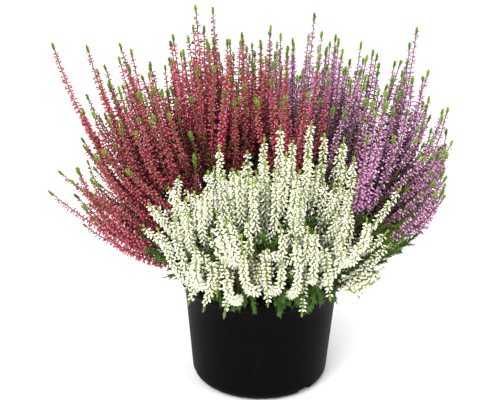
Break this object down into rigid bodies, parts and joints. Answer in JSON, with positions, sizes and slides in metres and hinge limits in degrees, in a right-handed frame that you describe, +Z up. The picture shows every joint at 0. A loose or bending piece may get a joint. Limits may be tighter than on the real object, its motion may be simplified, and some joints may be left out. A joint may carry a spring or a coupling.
{
  "type": "potted heather",
  "caption": "Bushy heather in crimson, lilac and white, racemes of small buds on forked woody stems that stand in the compost of a low black nursery pot.",
  "frame": {"origin": "centre of the pot's flat underside, on the pot's axis", "axes": "+Z up along the pot's axis, -Y towards the white plant at the front, +X towards the lilac plant"},
  "size_m": [0.33, 0.2395, 0.322],
  "materials": {
    "pot": "satin black",
    "compost": "rough, dark peat",
    "crimson_heather": "matt",
    "lilac_heather": "matt",
    "white_heather": "matt",
    "leafy_heather": "matt"
  },
  "bodies": {
    "root": {"pot": "pot", "crimson_spray_01": "crimson_heather", "crimson_spray_02": "crimson_heather", "crimson_spray_03": "crimson_heather", "crimson_spray_04": "crimson_heather", "crimson_spray_05": "crimson_heather", "crimson_spray_06": "crimson_heather", "crimson_spray_07": "crimson_heather", "crimson_spray_08": "crimson_heather", "crimson_spray_09": "crimson_heather", "crimson_spray_10": "crimson_heather", "crimson_spray_11": "crimson_heather", "crimson_spray_12": "crimson_heather", "crimson_spray_13": "crimson_heather", "crimson_spray_14": "crimson_heather", "crimson_spray_15": "crimson_heather", "crimson_spray_16": "crimson_heather", "lilac_spray_01": "lilac_heather", "lilac_spray_02": "lilac_heather", "lilac_spray_03": "lilac_heather", "lilac_spray_04": "lilac_heather", "lilac_spray_05": "lilac_heather", "lilac_spray_06": "lilac_heather", "lilac_spray_07": "lilac_heather", "lilac_spray_08": "lilac_heather", "lilac_spray_09": "lilac_heather", "lilac_spray_10": "lilac_heather", "lilac_spray_11": "lilac_heather", "lilac_spray_12": "lilac_heather", "white_spray_01": "white_heather", "white_spray_02": "white_heather", "white_spray_03": "white_heather", "white_spray_04": "white_heather", "white_spray_05": "white_heather", "white_spray_06": "white_heather", "white_spray_07": "white_heather", "white_spray_08": "white_heather", "white_spray_09": "white_heather", "white_spray_10": "white_heather", "white_spray_11": "white_heather", "white_spray_12": "white_heather", "white_spray_13": "white_heather", "white_spray_14": "white_heather", "leafy_spray_01": "leafy_heather", "leafy_spray_02": "leafy_heather", "leafy_spray_03": "leafy_heather", "leafy_spray_04": "leafy_heather", "leafy_spray_05": "leafy_heather", "leafy_spray_06": "leafy_heather", "leafy_spray_07": "leafy_heather", "leafy_spray_08": "leafy_heather", "compost": "compost"}
  },
  "joints": []
}
